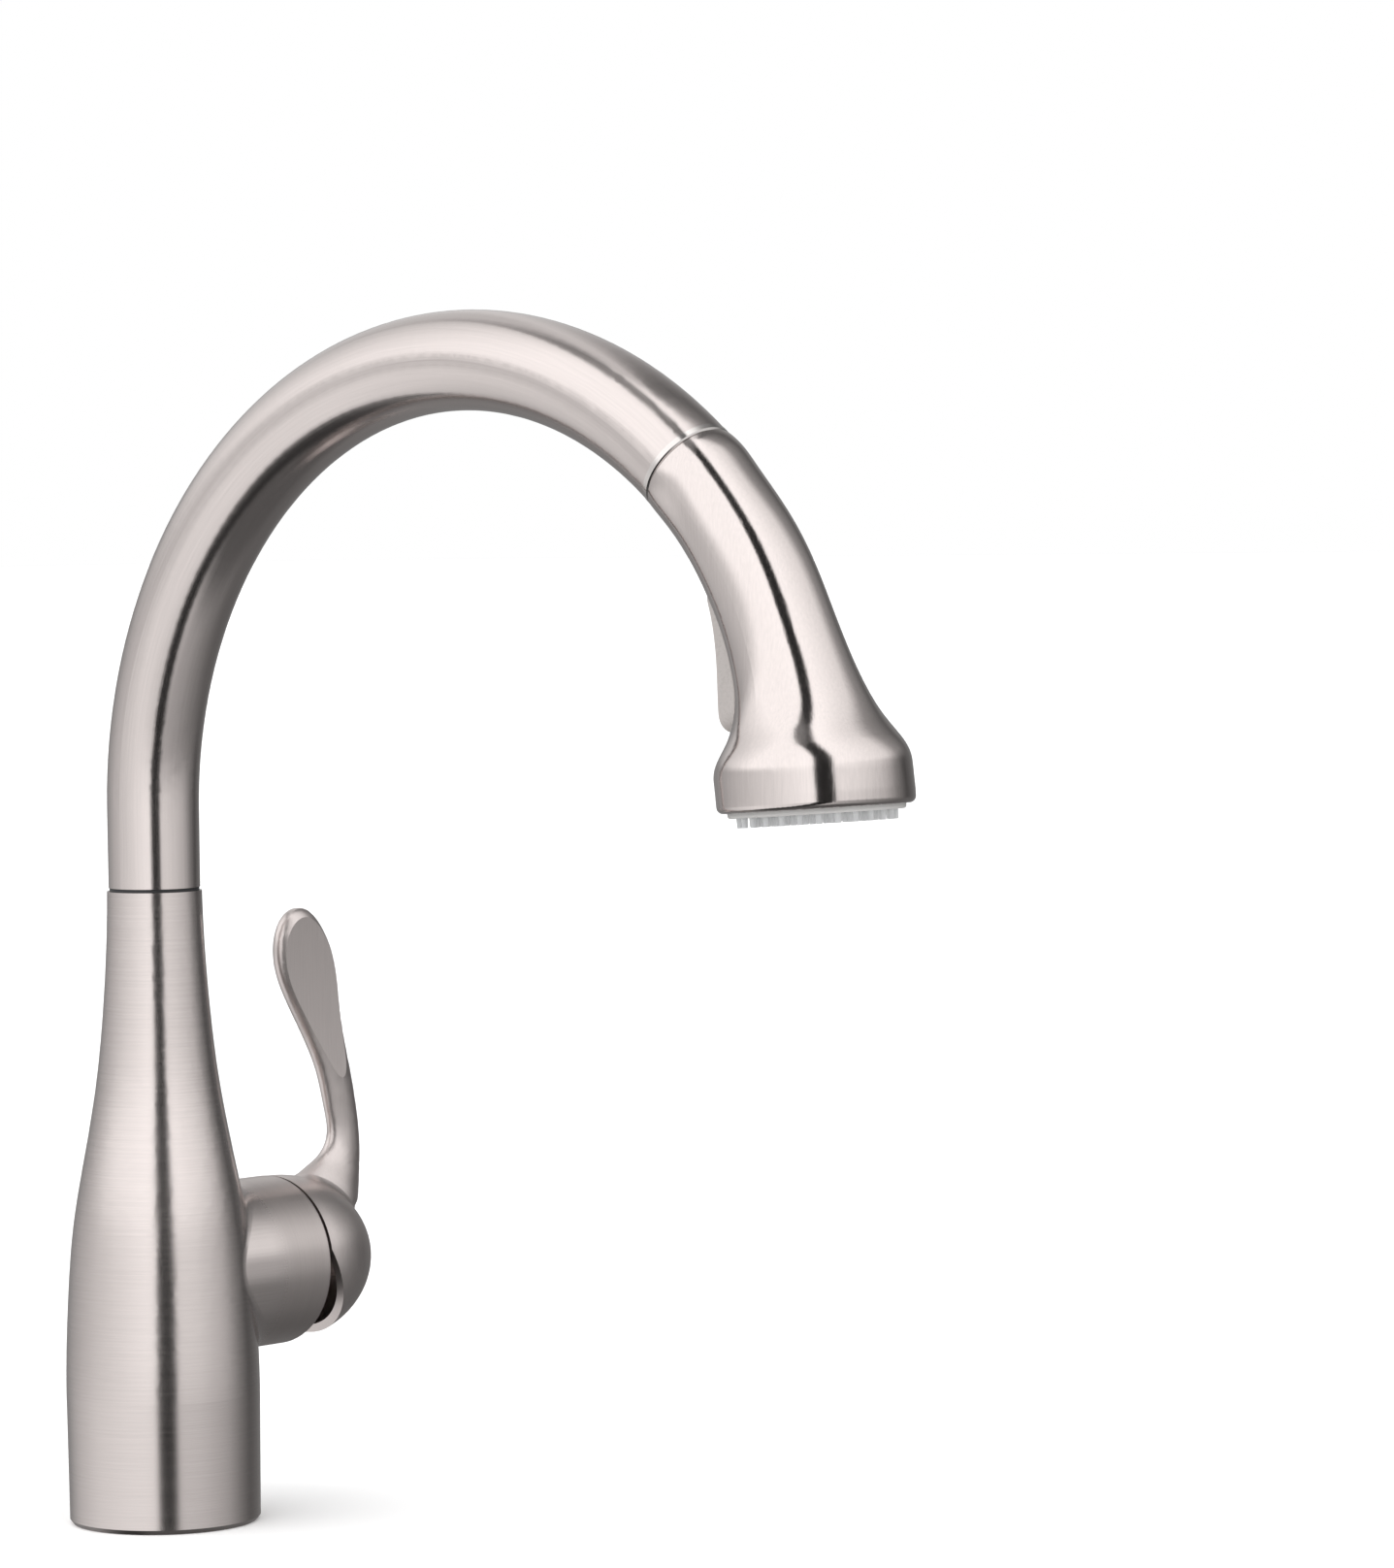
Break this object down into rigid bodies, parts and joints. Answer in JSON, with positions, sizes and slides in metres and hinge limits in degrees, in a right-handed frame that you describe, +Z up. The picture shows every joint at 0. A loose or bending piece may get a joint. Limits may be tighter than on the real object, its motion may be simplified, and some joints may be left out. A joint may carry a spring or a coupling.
{
  "type": "pull down kitchen faucet",
  "caption": "Single-lever kitchen faucet with a turned column, side lever, swivelling swan-neck spout and a bell-mouthed pull-down spray head.",
  "frame": {"origin": "centre of the base on the worktop's top face", "axes": "+Z up the column, spout towards -Y, lever hub towards +X"},
  "size_m": [0.1106, 0.3087, 0.476],
  "materials": {
    "brushed_nickel": "brushed",
    "nickel_ring": "satin",
    "brass": "machined",
    "steel": "machined",
    "black_plastic": "matt",
    "white_plastic": "matt",
    "ceramic": "polished",
    "grey_plastic": "satin",
    "silicone": "matt",
    "rubber": "matt",
    "hose_braid": "braided"
  },
  "bodies": {
    "tap_body": {"column_body": "brushed_nickel", "base_seal": "rubber", "mounting_shank": "brass", "rubber_washer": "rubber", "steel_washer": "steel", "mounting_nut": "brass", "tension_screws": "steel", "outlet_pipe": "brass", "hot_supply_tail": "brass", "cold_supply_tail": "brass", "hose_guide": "black_plastic", "cartridge_base": "white_plastic", "port_seals": "rubber", "fixed_disc": "ceramic", "cartridge_housing": "white_plastic", "cartridge_nut": "brass", "hub_trim": "black_plastic", "lower_bush": "white_plastic", "upper_bush": "white_plastic", "swivel_seals": "rubber", "slip_ring": "black_plastic", "hose_lower": "hose_braid", "hose_fitting": "brass"},
    "spout": {"gooseneck_tube": "brushed_nickel", "swivel_sleeve": "brass", "swivel_clip": "steel", "spout_ring": "nickel_ring", "dock_bush": "black_plastic", "hose_upper": "hose_braid", "hose_lead": "hose_braid"},
    "spray_head": {"head_shell": "brushed_nickel", "head_tail": "black_plastic", "hose_nut": "brass", "check_valve": "white_plastic", "inlet_screen": "steel", "waterway_tube": "white_plastic", "diverter_housing": "white_plastic", "button_axle": "steel", "spray_chamber": "white_plastic", "nozzle_mat": "silicone", "spray_plate": "grey_plastic", "aerator_insert": "grey_plastic", "aerator_screen": "steel"},
    "rocker": {"spray_button": "grey_plastic"},
    "spool": {"diverter_spool": "white_plastic", "spool_seals": "rubber"},
    "temperature_rotor": {"rotor": "white_plastic", "tilt_axle": "steel"},
    "lever": {"handle": "brushed_nickel", "spindle": "brass", "grub_screw": "steel"},
    "disc": {"moving_disc": "ceramic", "disc_carrier": "white_plastic"}
  },
  "joints": [
    {"name": "spout_swivel", "type": "hinge", "parent": "tap_body", "child": "spout", "pos_m": [0, 0, 0.185], "axis": [0, 0, 1], "range_deg": [-75, 75]},
    {"name": "head_pull", "type": "slide", "parent": "spout", "child": "spray_head", "axis": [0, -0.7627, -0.6468], "range_m": [0, 0.25], "deforming": ["hose_lead"]},
    {"name": "button_rock", "type": "hinge", "parent": "spray_head", "child": "rocker", "pos_m": [0, -0.23324, 0.26092], "axis": [-1, 0, 0], "range_deg": [0, 4]},
    {"name": "spool_slide", "type": "slide", "parent": "spray_head", "child": "spool", "axis": [0, -0.3907, -0.9205], "range_m": [-0.0006, 0]},
    {"name": "temperature_turn", "type": "hinge", "parent": "tap_body", "child": "temperature_rotor", "pos_m": [0.03, 0, 0.0722], "axis": [1, 0, 0], "range_deg": [-45, 45]},
    {"name": "lever_tilt", "type": "hinge", "parent": "temperature_rotor", "child": "lever", "pos_m": [0.032, 0, 0.0722], "axis": [0, 1, 0], "range_deg": [0, 20]},
    {"name": "disc_slide", "type": "slide", "parent": "temperature_rotor", "child": "disc", "axis": [0, 0, 1], "range_m": [0, 0.0032]}
  ],
  "couplings": [
    {"joint": "spool_slide", "follows": "button_rock", "m_per_rad": -0.0054},
    {"joint": "disc_slide", "follows": "lever_tilt", "m_per_rad": 0.0087}
  ]
}
